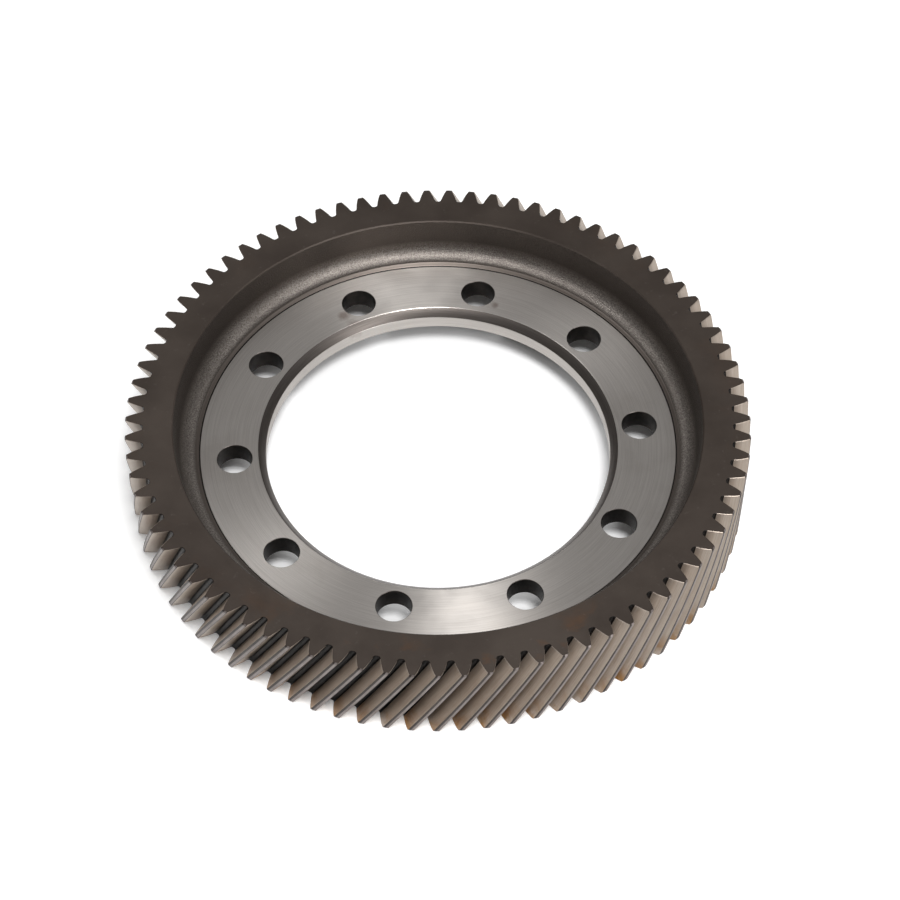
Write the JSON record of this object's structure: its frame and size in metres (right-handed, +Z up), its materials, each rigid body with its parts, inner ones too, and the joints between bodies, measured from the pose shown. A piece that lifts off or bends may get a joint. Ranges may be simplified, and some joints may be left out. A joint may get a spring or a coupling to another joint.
{
  "type": "final drive gear",
  "caption": "Helical ring gear with a thin bolted flange inside a toothed rim, and a wide bevelled bore that seats on a hub.",
  "frame": {"origin": "on the gear axis, in the plane of the lower tooth ends", "axes": "+Z up along the gear axis, the way the ground seat face looks; a bolt hole lies on +X"},
  "size_m": [0.2214, 0.2214, 0.0338],
  "materials": {
    "gear_steel": "satin"
  },
  "bodies": {
    "root": {"final_drive_gear": "gear_steel"}
  },
  "joints": []
}
